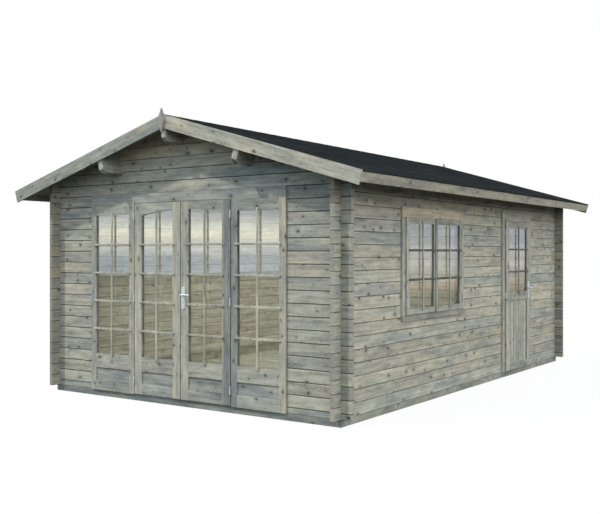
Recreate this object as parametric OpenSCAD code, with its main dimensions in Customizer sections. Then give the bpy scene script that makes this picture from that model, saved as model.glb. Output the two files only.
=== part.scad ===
// Log summer house: interlocked log walls on ground bearers, a low gabled roof on purlins,
// a glazed double door with fixed sidelights in the front gable, and a window and a half-glazed
// door in the right wall. Front faces -Y, the ground is z = 0, the origin is the footprint's centre.

/* [Walls] */
// Width over the outer faces of the side walls
wall_w = 3590; // [3400:10:4200]
// Length over the outer faces of the front and back walls
wall_l = 5520; // [5300:10:6400]
// Thickness of a log
log_t = 44; // [34:1:58]
// Height of one log course
log_h = 114; // [112:1:118]
// How far log ends run past the crossing wall
log_end = 102; // [80:1:140]
// Half height of the V joint between courses
seam_h = 5; // [3:0.5:8]
// Depth of the V joint between courses
seam_d = 4; // [2:0.5:6]
// Running gap between the necks of crossed logs
notch_gap = 0.4; // [0.2:0.1:0.8]

/* [Base] */
// Height of the ground bearers
bearer_h = 63; // [50:1:80]
// Width of the ground bearers
bearer_w = 70; // [64:1:90]
// Number of floor joists
joist_count = 6; // [4:1:9]
// Thickness of a floor joist
joist_t = 45; // [38:1:60]
// Thickness of the floor boards
floor_t = 19; // [16:1:26]
// Gap between the floor and the walls
floor_gap = 5; // [3:1:10]

/* [Roof] */
// Slope of the roof in degrees
pitch = 16.4; // [14:0.2:18]
// Height of the roof's underside over the outer face of a side wall
eave_z = 2208; // [2190:1:2230]
// Thickness of the roof boards
roof_t = 19; // [16:1:24]
// Thickness of the shingle covering
shingle_t = 5; // [3:0.5:8]
// How far the shingles run past the fascias
shingle_lip = 6; // [2:1:12]
// Width of one side of the ridge cap
cap_w = 150; // [100:5:220]
// Overhang of the roof boards past the front and back walls
gable_overhang = 250; // [200:5:400]
// Overhang of the roof boards past the side walls
eave_overhang = 344; // [250:2:420]
// Thickness of the barge boards and fascias
trim_t = 18; // [14:1:24]
// Depth of the barge boards below the roof boards' top
barge_d = 113; // [90:1:140]
// How far the barge boards rise over the roof boards
barge_up = 10; // [6:1:14]
// Depth of the fascias
fascia_d = 88; // [70:1:105]
// Width of a purlin
purlin_w = 58; // [44:1:90]
// Depth of a purlin below the roof boards
purlin_d = 222; // [160:1:240]
// Distance of the side purlins from the ridge down the slope
purlin_s = 930; // [800:2:1060]
// Bevel under the ends of the purlins
purlin_bevel = 38; // [20:1:80]
// Width of a finial
finial_w = 82; // [60:1:110]
// Height of a finial above the roof boards
finial_up = 65; // [40:1:100]
// Height of a finial below the roof boards
finial_down = 168; // [120:1:220]

/* [Front door set] */
// Width over both sidelights
set_w = 2476; // [2300:2:2600]
// How far doors, casings and sashes stand out of the wall
proud = 20; // [14:1:28]
// Thickness of leaves, sidelights and sashes
leaf_t = 44; // [38:1:50]
// Clearance beside a leaf
leaf_gap = 11; // [7:0.5:14]
// Clearance under, over and behind a leaf
end_gap = 7; // [6:0.5:12]
// Width of one sidelight
sidelight_w = 616; // [560:2:640]
// Width of a leaf's stiles
stile_w = 96; // [80:1:110]
// Width of a sidelight's stiles
side_stile_w = 72; // [60:1:90]
// Depth of the head over the doors
head_d = 90; // [80:1:120]
// Height of the lower panel's recess above the bearer
panel_z = 111; // [90:1:130]
// Height of the lower panel's recess
panel_h = 122; // [80:1:140]
// Height of the glass above the bearer
glass_z = 376; // [360:1:420]
// Depth of the top rail
top_rail_d = 111; // [90:1:130]
// Radius of the arch over the leaves' glass
arch_r = 2667; // [2400:1:3200]
// Rise of the arch's crown over the sidelights' glass
arch_rise = 34; // [20:1:44]
// Thickness of the glass
glass_t = 6; // [4:0.5:8]
// How far the glass reaches into its groove
glass_bite = 8; // [5:1:12]
// How far the glass lies behind the leaf's face
glass_back = 25; // [18:1:28]
// Depth of the lower panel's recess
recess_d = 12; // [8:1:15]

/* [Side door] */
// Distance of the side door's middle from the middle of the wall
side_door_y = 1260; // [1200:2:1340]
// Width of the side door's leaf
side_leaf_w = 782; // [700:2:800]
// Width of the side leaf's stiles
side_leaf_stile = 98; // [90:1:120]
// How far the side leaf and the sashes stand out of their casings
leaf_out = 13; // [8:1:18]
// Width of the casing beside the side door
side_casing = 66; // [50:1:80]
// Depth of the casing over the side door
door_head_casing = 108; // [80:1:114]
// Thickness of the side door's lining
lining_t = 30; // [24:1:34]
// Height of the side leaf's glass above the bearer
side_glass_z = 936; // [900:1:960]
// Depth of the side leaf's top rail
side_top_rail = 80; // [70:1:110]
// Depth of the side leaf's middle rail
side_mid_rail = 100; // [80:1:120]
// Depth of the side leaf's bottom rail
side_bottom_rail = 80; // [60:1:140]
// Width of one board of the side leaf's lower panel
plank_w = 82; // [60:1:110]

/* [Window] */
// Distance of the window's middle from the middle of the wall
window_y = -1008; // [-1060:2:-900]
// Width over the window's casing
window_w = 1382; // [1300:2:1420]
// Width of the window's side casings
window_casing = 58; // [48:1:70]
// Depth of the window's top casing
window_top = 89; // [70:1:100]
// Depth of the window's bottom casing
window_bottom = 57; // [50:1:66]
// How far the casing laps over the wall at the sill and the sides
window_lap = 40; // [30:1:46]
// How far the casing laps over the wall at the head
window_head_lap = 17; // [12:1:30]
// Width of a sash's outer stile
sash_w = 64; // [50:1:76]
// Width of a sash's stile at the window's middle
sash_meet = 42; // [36:1:60]
// Depth of a sash's rails
sash_rail = 55; // [44:1:64]
// Clearance round a sash
sash_gap = 3; // [2:0.5:5]

/* [Hardware] */
// Radius of a hinge's knuckle
knuckle_r = 7; // [6:0.5:8]
// Distance of a knuckle from the leaf's face
knuckle_gap = 1; // [0.5:0.5:3]
// Height of a hinge
hinge_h = 70; // [50:1:90]
// Radius of a hinge pin
pin_r = 3; // [2:0.5:4]
// Running clearance of pins and spindles
pin_play = 0.15; // [0.1:0.05:0.3]
// Thickness of a hinge's wing
wing_t = 2; // [1.5:0.5:2.5]
// How far a hinge's wing reaches over the leaf's edge
wing_d = 25; // [16:1:32]
// Height of a handle plate
plate_h = 213; // [180:1:240]
// Width of a handle plate
plate_w = 42; // [34:1:50]
// Thickness of a handle plate
plate_t = 8; // [6:0.5:10]
// Distance of the front plate's middle from the leaf's meeting edge
plate_in = 36; // [28:1:44]
// Height of the front plate's foot above the bearer
plate_z = 872; // [840:1:900]
// Height of the side plate's foot above the bearer
side_plate_z = 841; // [800:1:860]
// Height of the spindle above the plate's foot
spindle_up = 136; // [110:1:150]
// Radius of the spindle
spindle_r = 5; // [4:0.5:6]
// Radius of a lever's bar
lever_r = 9; // [7:0.5:10]
// Length of a lever from its spindle
lever_l = 112; // [90:1:130]
// Distance of a lever's bar from its plate
lever_off = 40; // [32:1:46]

/* [Hidden] */
$fn = 48;
seat = 0.3;
past = 1;
courses_door = 17;
courses_sill = 7;
courses_lintel = 16;
half_w = wall_w / 2;
half_l = wall_l / 2;
log_hue = [0.58, 0.58, 0.52];
trim_hue = [0.63, 0.63, 0.58];
steel_hue = [0.80, 0.81, 0.83];
glass_hue = [0.75, 0.80, 0.84, 0.4];
roof_hue = [0.17, 0.18, 0.19];

// Seams of the end walls lie half a course above those of the side walls
end_seam = bearer_h + log_h / 2;
door_top = end_seam + courses_door * log_h;
sill_z = bearer_h + courses_sill * log_h;
lintel_z = bearer_h + courses_lintel * log_h;

// Roof planes, with the boards' underside through eave_z at the outer wall faces
slope = tan(pitch);
under_ridge = eave_z + half_w * slope;
courses_side = ceil((eave_z - bearer_h) / log_h) + 1;
courses_gable = ceil((under_ridge - door_top) / log_h) + 1;
ridge_z = under_ridge + roof_t / cos(pitch);
board_end = (half_w + eave_overhang) / cos(pitch);
trim_end = board_end + trim_t;
roof_y = half_l + gable_overhang;
barge_y = roof_y + trim_t;
cover_y = roof_y - seat;
mitre = 0.2;

// Door set along the front wall
face_y = -half_l - proud;
set_half = set_w / 2;
sidelight_x = set_half - sidelight_w;
leaf_x0 = leaf_gap / 2;
leaf_x1 = sidelight_x - leaf_gap;
head_z = door_top - head_d;
leaf_z0 = bearer_h + end_gap;
leaf_z1 = head_z - end_gap;
glass_z0 = bearer_h + glass_z;
glass_z1 = head_z - top_rail_d;
pane_y = face_y + glass_back;

// Side door along the right wall
face_x = half_w + proud;
leaf_x = face_x + leaf_out;
side_y0 = side_door_y - side_leaf_w / 2;
side_y1 = side_door_y + side_leaf_w / 2;
jamb_y0 = side_y0 - leaf_gap;
jamb_y1 = side_y1 + leaf_gap;
side_top = lintel_z - lining_t - end_gap;
pane_x = leaf_x - glass_back;

// Window in the right wall
window_y0 = window_y - window_w / 2;
window_y1 = window_y + window_w / 2;
window_z0 = sill_z - window_lap;
window_z1 = lintel_z + window_head_lap;
sash_z0 = window_z0 + window_bottom + sash_gap;
sash_z1 = window_z1 - window_top - sash_gap;
sash_y0 = window_y0 + window_casing + sash_gap;
sash_y1 = window_y1 - window_casing - sash_gap;

// Hardware
hinge_off = knuckle_r + knuckle_gap;
hinge_foot = 140;
hinge_drop = 130;
sash_hinge_in = 123;
spindle_z = bearer_h + plate_z + spindle_up;
side_spindle_z = bearer_h + side_plate_z + spindle_up;
front_plate_x = leaf_x0 + plate_in;
side_plate_y = side_y1 - side_leaf_stile / 2;

// An outline in X and Z, extruded from y0 to y1
module along_y(y0, y1) {
    translate([0, y1, 0]) rotate([90, 0, 0]) linear_extrude(y1 - y0) children();
}

// An outline in Y and Z, extruded from x0 to x1
module along_x(x0, x1) {
    translate([x0, 0, 0]) rotate([90, 0, 90]) linear_extrude(x1 - x0) children();
}

// A box between two corners
module block(a, b) {
    translate(a) cube(b - a);
}

// One face of a log wall from z0 to z1, with a V joint at every seam
function log_face(z0, z1, first) = concat(
    [[seam_d, z0], [0, z0 + seam_h]],
    [for (z = [first : log_h : z1 - seam_h])
        if (z > z0 + seam_h) each [[0, z - seam_h], [seam_d, z], [0, z + seam_h]]],
    [[0, z1 - seam_h], [seam_d, z1]]
);

// Cross-section of a log wall: its outer face at 0 and its inner face at log_t
function log_section(z0, z1, first) =
    let (face = log_face(z0, z1, first), n = len(face))
    concat(face, [for (i = [n - 1 : -1 : 0]) [log_t - face[i][0], face[i][1]]]);

// Spaces for the necks of the side walls' logs in an end wall
module side_necks() {
    for (side = [-1, 1], j = [0 : courses_side])
        translate([side * (half_w - log_t / 2), 0, bearer_h + (j + 0.5) * log_h])
            cube([log_t + notch_gap, wall_l + 4 * log_end, log_h / 2 + notch_gap], center = true);
}

// Spaces for the necks of the end walls' logs in a side wall
module end_necks() {
    for (side = [-1, 1], k = [0 : courses_side])
        translate([0, side * (half_l - log_t / 2), bearer_h + k * log_h])
            cube([wall_w + 4 * log_end, log_t + notch_gap, log_h / 2 + notch_gap], center = true);
}

// A stretch of the front wall
module end_logs(x0, x1, z0, z1) {
    difference() {
        along_x(x0, x1) translate([-half_l, 0]) polygon(log_section(z0, z1, end_seam));
        side_necks();
    }
}

// A stretch of the right wall
module side_logs(y0, y1, z0, z1) {
    difference() {
        along_y(y0, y1) translate([half_w, 0]) mirror([1, 0]) polygon(log_section(z0, z1, bearer_h));
        end_necks();
    }
}

// The space under the roof boards
module under_roof(drop) {
    reach = half_w + eave_overhang;
    polygon([
        [-reach, 0], [reach, 0], [reach, under_ridge - drop - reach * slope],
        [0, under_ridge - drop], [-reach, under_ridge - drop - reach * slope]
    ]);
}

// Puts a shape drawn below z = 0 under the ridge
module at_ridge() {
    translate([0, 0, under_ridge]) children();
}

// Puts a shape drawn below z = 0 under the right slope, square to it
module at_right_slope() {
    translate([0, 0, under_ridge]) rotate([0, pitch, 0]) translate([purlin_s, 0, 0]) children();
}

// The space that a purlin takes in a gable
module purlin_slot() {
    x = purlin_w / 2 + seat;
    block([-x, -roof_y, -purlin_d - seat], [x, roof_y, purlin_d]);
}

// A purlin below z = top, with bevelled lower ends
module purlin_bar(top) {
    along_x(-purlin_w / 2, purlin_w / 2) polygon([
        [-roof_y, top], [-roof_y, purlin_bevel - purlin_d], [purlin_bevel - roof_y, -purlin_d],
        [roof_y - purlin_bevel, -purlin_d], [roof_y, purlin_bevel - purlin_d], [roof_y, top]
    ]);
}

module gable() {
    difference() {
        intersection() {
            end_logs(-half_w - log_end, half_w + log_end, door_top, door_top + courses_gable * log_h);
            along_y(-half_l - past, -half_l + log_t + past) under_roof(seat);
        }
        at_ridge() purlin_slot();
        for (side = [0, 1]) mirror([side, 0, 0]) at_right_slope() purlin_slot();
    }
}

// A point of the right roof slope: s down the slope from the ridge, n above the boards
function roof_point(s, n) = [s * cos(pitch) + n * sin(pitch), ridge_z - s * sin(pitch) + n * cos(pitch)];

// A point over the ridge at x, n above the boards
function ridge_point(x, n) = [x, ridge_z + n / cos(pitch) - x * slope];

// A board of the right roof slope between two heights, from the ridge to s
module slope_section(s, n0, n1) {
    polygon([ridge_point(mitre, n0), roof_point(s, n0), roof_point(s, n1), ridge_point(mitre, n1)]);
}

module barges() {
    for (side = [0, 1]) mirror([side, 0, 0])
        along_y(-barge_y, -roof_y) slope_section(trim_end, -barge_d, barge_up);
}

// The opening of a leaf's glass in X and Z, widened by grow
module arched_opening(grow) {
    crown = glass_z1 + arch_rise;
    intersection() {
        translate([leaf_x0 + stile_w - grow, glass_z0 - grow])
            square([leaf_x1 - leaf_x0 - 2 * (stile_w - grow), crown]);
        translate([0, crown - arch_r]) circle(arch_r + grow, $fn = 360);
    }
}

// The opening of a sidelight's glass in X and Z, widened by grow
module square_opening(grow) {
    translate([sidelight_x + side_stile_w - grow, glass_z0 - grow])
        square([sidelight_w - 2 * (side_stile_w - grow), glass_z1 - glass_z0 + 2 * grow]);
}

// The sheet of glass in the front door set, front to back
module pane(grow) {
    along_y(pane_y - grow, pane_y + glass_t + grow) children();
}

// A framed front panel from x0 to x1 and z0 to z1 with a recessed lower panel between its stiles
module front_panel(x0, x1, z0, z1, stile) {
    difference() {
        block([x0, face_y, z0], [x1, face_y + leaf_t, z1]);
        for (y = [face_y - past, face_y + leaf_t - recess_d])
            block([x0 + stile, y, bearer_h + panel_z],
                  [x1 - stile, y + recess_d + past, bearer_h + panel_z + panel_h]);
        children();
    }
}

module leaf_blank() {
    front_panel(leaf_x0, leaf_x1, leaf_z0, leaf_z1, stile_w) {
        union() {
            along_y(face_y - past, face_y + leaf_t + past) arched_opening(0);
            pane(seat) arched_opening(glass_bite + seat);
        }
    }
}

module sidelight_blank() {
    front_panel(sidelight_x, set_half - seat, bearer_h, head_z - seat, side_stile_w) {
        union() {
            along_y(face_y - past, face_y + leaf_t + past) square_opening(0);
            pane(seat) square_opening(glass_bite + seat);
        }
    }
}

// Moving half of a hinge: the upper knuckle, bored for the pin, and its wing on the leaf's edge.
// The pin's axis is Z, the leaf lies towards +X and the wing runs towards +Y.
module leaf_hinge() {
    difference() {
        union() {
            translate([0, 0, seat]) cylinder(r = knuckle_r, h = hinge_h / 2 - seat);
            block([leaf_gap / 2 - wing_t, 0, seat], [leaf_gap / 2, hinge_off + wing_d, hinge_h / 2]);
        }
        translate([0, 0, -past]) cylinder(r = pin_r + pin_play, h = hinge_h);
    }
}

// Fixed half of a hinge: the lower knuckle with its pin, and its wing on the frame's edge
module frame_hinge() {
    translate([0, 0, -hinge_h / 2]) cylinder(r = knuckle_r, h = hinge_h / 2);
    translate([0, 0, -past]) cylinder(r = pin_r, h = hinge_h / 2);
    block([-leaf_gap / 2, 0, -hinge_h / 2], [-leaf_gap / 2 + wing_t, hinge_off + wing_d, 0]);
}

// Heights of the three hinges of a leaf that ends at z1
function hinge_heights(z1) =
    let (low = leaf_z0 + hinge_foot, high = z1 - hinge_drop) [low, (low + high) / 2, high];

// Places a hinge half at the three hinges of the left leaf
module left_hinges() {
    for (z = hinge_heights(leaf_z1))
        translate([-sidelight_x + leaf_gap / 2, face_y - hinge_off, z]) children();
}

// Places a hinge half at the three hinges of the side leaf
module side_hinges() {
    for (z = hinge_heights(side_top))
        translate([leaf_x + hinge_off, side_y0 - leaf_gap / 2, z]) rotate([0, 0, 90]) children();
}

// A rounded plate on a leaf's face, outward along -Y, with a bore for the spindle
module handle_plate() {
    difference() {
        along_y(-plate_t, 0) hull() for (z = [plate_w / 2, plate_h - plate_w / 2])
            translate([0, z]) circle(plate_w / 2);
        translate([0, past, spindle_up]) rotate([90, 0, 0])
            cylinder(r = spindle_r + pin_play, h = plate_t + 2 * past);
    }
}

// Plates on both faces of a leaf, the outer one on y = 0
module plate_pair() {
    handle_plate();
    translate([0, leaf_t, 0]) mirror([0, 1, 0]) handle_plate();
}

// A lever that points along +X from a neck on the plate at y = 0
module lever_arm() {
    y = -plate_t - lever_off;
    translate([0, -plate_t - seat, 0]) rotate([90, 0, 0]) cylinder(r = lever_r, h = lever_off - seat);
    translate([0, y, 0]) sphere(lever_r);
    translate([0, y, 0]) rotate([0, 90, 0]) cylinder(r = lever_r, h = lever_l - lever_r);
    translate([lever_l - lever_r, y, 0]) sphere(lever_r);
}

// Both levers of a door on one spindle
module lever_pair() {
    lever_arm();
    translate([0, leaf_t, 0]) mirror([0, 1, 0]) lever_arm();
    translate([0, leaf_t + plate_t + past, 0]) rotate([90, 0, 0])
        cylinder(r = spindle_r, h = leaf_t + 2 * plate_t + 2 * past);
}

// A bore through a leaf for the spindle, along Y from y = 0
module spindle_bore() {
    translate([0, leaf_t + past, 0]) rotate([90, 0, 0])
        cylinder(r = spindle_r + pin_play, h = leaf_t + 2 * past);
}

module end_bearers() {
    color(log_hue) for (end = [0, 1]) mirror([0, end, 0])
        block([-half_w, -half_l, 0], [half_w, -half_l + bearer_w, bearer_h]);
}

module side_bearers() {
    color(log_hue) for (side = [0, 1]) mirror([side, 0, 0])
        block([half_w - bearer_w, -half_l + bearer_w, 0], [half_w, half_l - bearer_w, bearer_h]);
}

module floor_joists() {
    span = half_w - bearer_w;
    pitch_x = 2 * span / (joist_count + 1);
    color(log_hue) for (i = [1 : joist_count])
        translate([-span + i * pitch_x - joist_t / 2, -half_l + bearer_w, 0])
            cube([joist_t, wall_l - 2 * bearer_w, bearer_h]);
}

module floor_boards() {
    x = half_w - log_t - floor_gap;
    y = half_l - log_t - floor_gap;
    color(log_hue) difference() {
        block([-x, -y, bearer_h], [x, y, bearer_h + floor_t]);
        block([-set_half, -y - past, bearer_h - past],
              [set_half, -half_l + bearer_w + floor_gap, bearer_h + floor_t + past]);
        block([half_w - bearer_w - floor_gap, jamb_y0 - lining_t - floor_gap, bearer_h - past],
              [x + past, jamb_y1 + lining_t + floor_gap, bearer_h + floor_t + past]);
    }
}

module front_wall_left() {
    color(log_hue) end_logs(-half_w - log_end, -set_half, bearer_h, door_top);
}

module front_wall_right() {
    color(log_hue) end_logs(set_half, half_w + log_end, bearer_h, door_top);
}

module front_gable() {
    color(log_hue) gable();
}

module back_wall() {
    color(log_hue) mirror([0, 1, 0]) end_logs(-half_w - log_end, half_w + log_end, bearer_h, door_top);
}

module back_gable() {
    color(log_hue) mirror([0, 1, 0]) gable();
}

module left_wall() {
    color(log_hue) mirror([1, 0, 0]) intersection() {
        side_logs(-half_l - log_end, half_l + log_end, bearer_h, bearer_h + courses_side * log_h);
        along_y(-roof_y, roof_y) under_roof(seat);
    }
}

module right_wall_lower() {
    color(log_hue) side_logs(-half_l - log_end, jamb_y0 - lining_t, bearer_h, sill_z);
}

module right_wall_front() {
    color(log_hue) side_logs(-half_l - log_end, window_y0 + window_lap, sill_z, lintel_z);
}

module right_wall_pier() {
    color(log_hue) side_logs(window_y1 - window_lap, jamb_y0 - lining_t, sill_z, lintel_z);
}

module right_wall_rear() {
    color(log_hue) side_logs(jamb_y1 + lining_t, half_l + log_end, bearer_h, lintel_z);
}

module right_wall_upper() {
    color(log_hue) intersection() {
        side_logs(-half_l - log_end, half_l + log_end, lintel_z, bearer_h + courses_side * log_h);
        along_y(-roof_y, roof_y) under_roof(seat);
    }
}

module ridge_purlin() {
    color(log_hue) intersection() {
        at_ridge() purlin_bar(0);
        along_y(-roof_y, roof_y) under_roof(seat);
    }
}

module right_purlin() {
    color(log_hue) at_right_slope() purlin_bar(-seat);
}

module left_purlin() {
    mirror([1, 0, 0]) right_purlin();
}

module right_roof_boards() {
    color(trim_hue) along_y(-roof_y, roof_y) slope_section(board_end, -roof_t, 0);
}

module left_roof_boards() {
    mirror([1, 0, 0]) right_roof_boards();
}

module right_shingles() {
    color(roof_hue) along_y(-cover_y, cover_y) slope_section(trim_end + shingle_lip, seat, shingle_t);
}

module left_shingles() {
    mirror([1, 0, 0]) right_shingles();
}

module ridge_cap() {
    under = shingle_t + seat;
    right = [roof_point(cap_w, 2 * shingle_t), roof_point(cap_w, under)];
    color(roof_hue) along_y(-cover_y, cover_y) polygon([
        ridge_point(0, under), right[1], right[0],
        ridge_point(0, 2 * shingle_t), [-right[0][0], right[0][1]], [-right[1][0], right[1][1]]
    ]);
}

module front_barge_boards() {
    color(trim_hue) barges();
}

module back_barge_boards() {
    color(trim_hue) mirror([0, 1, 0]) barges();
}

module fascias() {
    color(trim_hue) for (side = [0, 1]) mirror([side, 0, 0])
        along_y(-roof_y, roof_y) polygon([
            roof_point(board_end + seat, -fascia_d), roof_point(trim_end, -fascia_d),
            roof_point(trim_end, 0), roof_point(board_end + seat, 0)
        ]);
}

module finials() {
    waist = ridge_z - (finial_down - finial_up) / 2 + finial_up / 4;
    color(trim_hue) for (end = [0, 1]) mirror([0, end, 0])
        along_y(-barge_y - trim_t, -barge_y) polygon([
            [0, ridge_z + finial_up], [-finial_w / 2, waist],
            [0, ridge_z - finial_down], [finial_w / 2, waist]
        ]);
}

module front_head() {
    color(trim_hue) block([-set_half, face_y, head_z], [set_half, -half_l + log_t + proud, door_top]);
}

module front_threshold() {
    x = sidelight_x - seat;
    y = face_y + leaf_t + end_gap;
    color(trim_hue) block([-x, y, bearer_h], [x, -half_l + bearer_w, bearer_h + floor_t]);
}

module right_sidelight() {
    color(trim_hue) sidelight_blank();
}

module left_sidelight() {
    color(trim_hue) mirror([1, 0, 0]) sidelight_blank();
}

module sidelight_glass() {
    color(glass_hue) for (side = [0, 1]) mirror([side, 0, 0]) pane(0) square_opening(glass_bite);
}

module left_leaf() {
    color(trim_hue) mirror([1, 0, 0]) leaf_blank();
}

module left_leaf_glass() {
    color(glass_hue) mirror([1, 0, 0]) pane(0) arched_opening(glass_bite);
}

module left_leaf_hinges() {
    color(steel_hue) left_hinges() leaf_hinge();
}

module right_leaf() {
    color(trim_hue) difference() {
        leaf_blank();
        translate([front_plate_x, face_y, spindle_z]) spindle_bore();
    }
}

module right_leaf_glass() {
    color(glass_hue) pane(0) arched_opening(glass_bite);
}

module right_leaf_hinges() {
    color(steel_hue) mirror([1, 0, 0]) left_hinges() leaf_hinge();
}

module front_handle() {
    color(steel_hue) translate([front_plate_x, face_y, spindle_z - spindle_up]) plate_pair();
}

module front_lever() {
    color(steel_hue) translate([front_plate_x, face_y, spindle_z]) lever_pair();
}

module side_door_jambs() {
    casings = [[jamb_y0 - side_casing, jamb_y0, jamb_y0 - lining_t],
               [jamb_y1, jamb_y1 + side_casing, jamb_y1]];
    color(trim_hue) for (c = casings) {
        block([half_w + seat, c[0], bearer_h], [face_x, c[1], lintel_z - lining_t]);
        block([half_w - log_t - proud, c[2] + seat, bearer_h],
              [half_w + past, c[2] + lining_t - seat, lintel_z - lining_t]);
    }
}

module side_door_head() {
    color(trim_hue) {
        block([half_w + seat, jamb_y0 - side_casing, lintel_z - lining_t + seat],
              [face_x, jamb_y1 + side_casing, lintel_z - lining_t + door_head_casing]);
        block([half_w - log_t - proud, jamb_y0 - lining_t + seat, lintel_z - lining_t + seat],
              [half_w + past, jamb_y1 + lining_t - seat, lintel_z - seat]);
    }
}

module side_door_threshold() {
    x = leaf_x - leaf_t - end_gap;
    color(trim_hue)
        block([half_w - bearer_w, jamb_y0 + seat, bearer_h], [x, jamb_y1 - seat, bearer_h + floor_t]);
}

// The side leaf's glass opening in Y and Z, widened by grow
module side_opening(grow) {
    z1 = side_top - side_top_rail;
    translate([side_y0 + side_leaf_stile - grow, bearer_h + side_glass_z - grow])
        square([side_leaf_w - 2 * (side_leaf_stile - grow), z1 - bearer_h - side_glass_z + 2 * grow]);
}

module side_leaf() {
    z0 = leaf_z0 + side_bottom_rail;
    z1 = bearer_h + side_glass_z - side_mid_rail;
    y0 = side_y0 + side_leaf_stile;
    y1 = side_y1 - side_leaf_stile;
    planks = floor((y1 - y0) / plank_w);
    step = (y1 - y0) / planks;
    color(trim_hue) difference() {
        block([leaf_x - leaf_t, side_y0, leaf_z0], [leaf_x, side_y1, side_top]);
        along_x(leaf_x - leaf_t - past, leaf_x + past) side_opening(0);
        along_x(pane_x - glass_t - seat, pane_x + seat) side_opening(glass_bite + seat);
        for (x = [leaf_x - recess_d, leaf_x - leaf_t - past])
            block([x, y0, z0], [x + recess_d + past, y1, z1]);
        for (i = [1 : planks - 1]) for (x = [leaf_x - recess_d, leaf_x - leaf_t + recess_d])
            translate([x, y0 + i * step, z0]) rotate([0, 0, 45])
                translate([-seam_d / 2, -seam_d / 2, 0]) cube([seam_d, seam_d, z1 - z0]);
        translate([leaf_x, side_plate_y, side_spindle_z]) rotate([0, 0, 90]) spindle_bore();
    }
}

module side_leaf_glass() {
    color(glass_hue) along_x(pane_x - glass_t, pane_x) side_opening(glass_bite);
}

module side_leaf_hinges() {
    color(steel_hue) side_hinges() leaf_hinge();
}

module side_handle() {
    color(steel_hue) translate([leaf_x, side_plate_y, side_spindle_z - spindle_up])
        rotate([0, 0, 90]) plate_pair();
}

module side_lever() {
    color(steel_hue) translate([leaf_x, side_plate_y, side_spindle_z])
        rotate([0, 0, 90]) mirror([1, 0, 0]) lever_pair();
}

module frame_hinges() {
    color(steel_hue) {
        left_hinges() frame_hinge();
        mirror([1, 0, 0]) left_hinges() frame_hinge();
        side_hinges() frame_hinge();
    }
}

module window_frame() {
    color(trim_hue) difference() {
        union() {
            block([half_w + seat, window_y0, window_z0], [face_x, window_y1, window_z1]);
            block([half_w - log_t - proud, window_y0 + window_lap + seat, sill_z + seat],
                  [half_w + past, window_y1 - window_lap - seat, lintel_z - seat]);
        }
        block([half_w - log_t - proud - past, window_y0 + window_casing, window_z0 + window_bottom],
              [face_x + past, window_y1 - window_casing, window_z1 - window_top]);
    }
}

// Places a sash shape for each side of the window: y from the middle outwards
module both_sashes() {
    for (side = [0, 1]) translate([0, window_y, 0]) mirror([0, side, 0]) children();
}

// A sash's glass opening in Y and Z, widened by grow
module sash_opening(grow) {
    y0 = sash_gap / 2 + sash_meet;
    y1 = sash_y1 - window_y - sash_w;
    translate([y0 - grow, sash_z0 + sash_rail - grow])
        square([y1 - y0 + 2 * grow, sash_z1 - sash_z0 - 2 * (sash_rail - grow)]);
}

module window_sashes() {
    color(trim_hue) both_sashes() difference() {
        block([leaf_x - leaf_t, sash_gap / 2, sash_z0], [leaf_x, sash_y1 - window_y, sash_z1]);
        along_x(leaf_x - leaf_t - past, leaf_x + past) sash_opening(0);
        along_x(pane_x - glass_t - seat, pane_x + seat) sash_opening(glass_bite + seat);
    }
}

module window_glass() {
    color(glass_hue) both_sashes() along_x(pane_x - glass_t, pane_x) sash_opening(glass_bite);
}

// Fixed hinges that carry the sashes, each a knuckle with a wing that fills the sash's gap
module window_hinges() {
    y = sash_y1 - window_y;
    color(steel_hue) both_sashes() for (z = [sash_z0 + sash_hinge_in, sash_z1 - sash_hinge_in])
        translate([leaf_x, y, z - hinge_h / 2]) {
            translate([hinge_off, sash_gap / 2, 0]) cylinder(r = knuckle_r, h = hinge_h);
            block([-wing_d, 0, 0], [hinge_off, sash_gap, hinge_h]);
        }
}

end_bearers();
side_bearers();
floor_joists();
floor_boards();
front_wall_left();
front_wall_right();
front_gable();
back_wall();
back_gable();
left_wall();
right_wall_lower();
right_wall_front();
right_wall_pier();
right_wall_rear();
right_wall_upper();
ridge_purlin();
left_purlin();
right_purlin();
left_roof_boards();
right_roof_boards();
left_shingles();
right_shingles();
ridge_cap();
front_barge_boards();
back_barge_boards();
fascias();
finials();
front_head();
front_threshold();
left_sidelight();
right_sidelight();
sidelight_glass();
left_leaf();
left_leaf_glass();
left_leaf_hinges();
right_leaf();
right_leaf_glass();
right_leaf_hinges();
front_handle();
front_lever();
side_door_jambs();
side_door_head();
side_door_threshold();
side_leaf();
side_leaf_glass();
side_leaf_hinges();
side_handle();
side_lever();
frame_hinges();
window_frame();
window_sashes();
window_glass();
window_hinges();
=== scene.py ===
import math
from functools import partial, reduce
import bpy
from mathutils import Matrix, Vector


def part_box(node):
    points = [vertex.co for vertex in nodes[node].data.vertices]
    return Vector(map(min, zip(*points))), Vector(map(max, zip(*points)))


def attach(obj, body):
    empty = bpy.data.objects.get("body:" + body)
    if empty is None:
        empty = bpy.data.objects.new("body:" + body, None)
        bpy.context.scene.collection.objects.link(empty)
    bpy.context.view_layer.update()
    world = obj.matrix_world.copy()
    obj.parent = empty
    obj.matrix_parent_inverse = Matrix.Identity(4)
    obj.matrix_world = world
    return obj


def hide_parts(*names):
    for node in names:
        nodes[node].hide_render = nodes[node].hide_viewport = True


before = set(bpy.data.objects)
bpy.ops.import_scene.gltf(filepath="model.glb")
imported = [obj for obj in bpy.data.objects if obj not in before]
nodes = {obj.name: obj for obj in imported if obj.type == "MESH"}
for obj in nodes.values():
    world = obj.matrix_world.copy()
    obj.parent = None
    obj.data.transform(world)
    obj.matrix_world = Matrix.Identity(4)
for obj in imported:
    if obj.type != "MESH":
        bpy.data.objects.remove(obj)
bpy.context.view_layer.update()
scene = bpy.context.scene
scene.view_settings.view_transform = "Standard"
print("frame loaded,", len(nodes), "nodes")

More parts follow.
